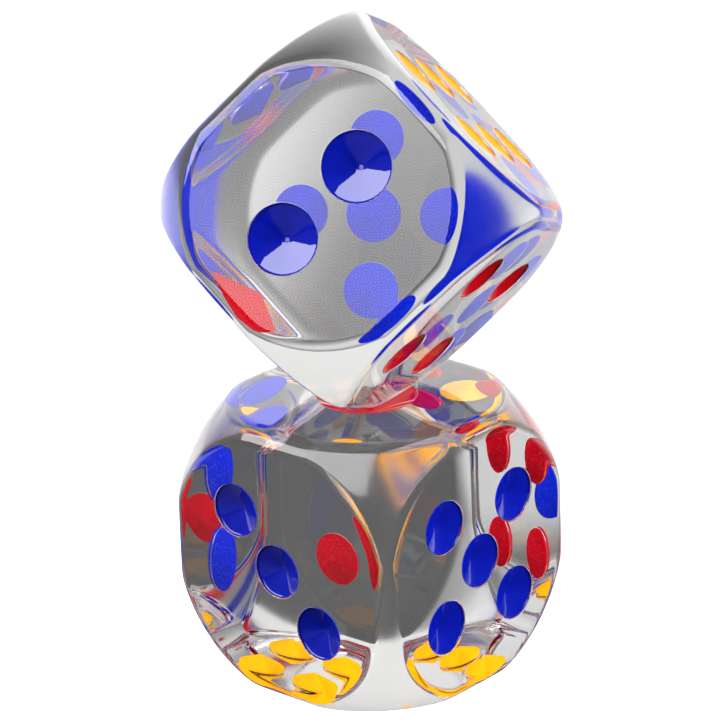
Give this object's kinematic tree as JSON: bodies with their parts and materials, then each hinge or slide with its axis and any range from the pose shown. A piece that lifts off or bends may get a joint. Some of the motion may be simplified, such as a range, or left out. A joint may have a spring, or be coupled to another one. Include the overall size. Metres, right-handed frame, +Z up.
{
  "type": "large clear dice",
  "caption": "Large clear acrylic dice with rounded corners and drilled enamelled pips, one standing on its corner in the big pip of the other.",
  "frame": {"origin": "centre of the lower die's bottom face, which is the face with the six", "axes": "+Z up; the lower die's three faces -Y, its five faces +X and its one faces up"},
  "size_m": [0.1234, 0.12, 0.2126],
  "materials": {
    "clear_acrylic": "water-clear cast acrylic, polished all over",
    "red_enamel": "glossy deep red enamel",
    "blue_enamel": "glossy royal blue enamel",
    "yellow_enamel": "glossy golden yellow enamel"
  },
  "bodies": {
    "lower_die": {"lower_die_body": "clear_acrylic", "lower_die_face_1_pip_1": "red_enamel", "lower_die_face_2_pip_1": "blue_enamel", "lower_die_face_2_pip_2": "blue_enamel", "lower_die_face_3_pip_1": "blue_enamel", "lower_die_face_3_pip_2": "blue_enamel", "lower_die_face_3_pip_3": "blue_enamel", "lower_die_face_4_pip_1": "red_enamel", "lower_die_face_4_pip_2": "red_enamel", "lower_die_face_4_pip_3": "red_enamel", "lower_die_face_4_pip_4": "red_enamel", "lower_die_face_5_pip_1": "blue_enamel", "lower_die_face_5_pip_2": "blue_enamel", "lower_die_face_5_pip_3": "blue_enamel", "lower_die_face_5_pip_4": "blue_enamel", "lower_die_face_5_pip_5": "blue_enamel", "lower_die_face_6_pip_1": "yellow_enamel", "lower_die_face_6_pip_2": "yellow_enamel", "lower_die_face_6_pip_3": "yellow_enamel", "lower_die_face_6_pip_4": "yellow_enamel", "lower_die_face_6_pip_5": "yellow_enamel", "lower_die_face_6_pip_6": "yellow_enamel"},
    "upper_die": {"upper_die_body": "clear_acrylic", "upper_die_face_1_pip_1": "red_enamel", "upper_die_face_2_pip_1": "blue_enamel", "upper_die_face_2_pip_2": "blue_enamel", "upper_die_face_3_pip_1": "blue_enamel", "upper_die_face_3_pip_2": "blue_enamel", "upper_die_face_3_pip_3": "blue_enamel", "upper_die_face_4_pip_1": "red_enamel", "upper_die_face_4_pip_2": "red_enamel", "upper_die_face_4_pip_3": "red_enamel", "upper_die_face_4_pip_4": "red_enamel", "upper_die_face_5_pip_1": "blue_enamel", "upper_die_face_5_pip_2": "blue_enamel", "upper_die_face_5_pip_3": "blue_enamel", "upper_die_face_5_pip_4": "blue_enamel", "upper_die_face_5_pip_5": "blue_enamel", "upper_die_face_6_pip_1": "yellow_enamel", "upper_die_face_6_pip_2": "yellow_enamel", "upper_die_face_6_pip_3": "yellow_enamel", "upper_die_face_6_pip_4": "yellow_enamel", "upper_die_face_6_pip_5": "yellow_enamel", "upper_die_face_6_pip_6": "yellow_enamel"}
  },
  "joints": [
    {"name": "upper_die_lift", "type": "slide", "parent": "lower_die", "child": "upper_die", "axis": [0, 0, 1], "range_m": [0, 0.15]}
  ]
}
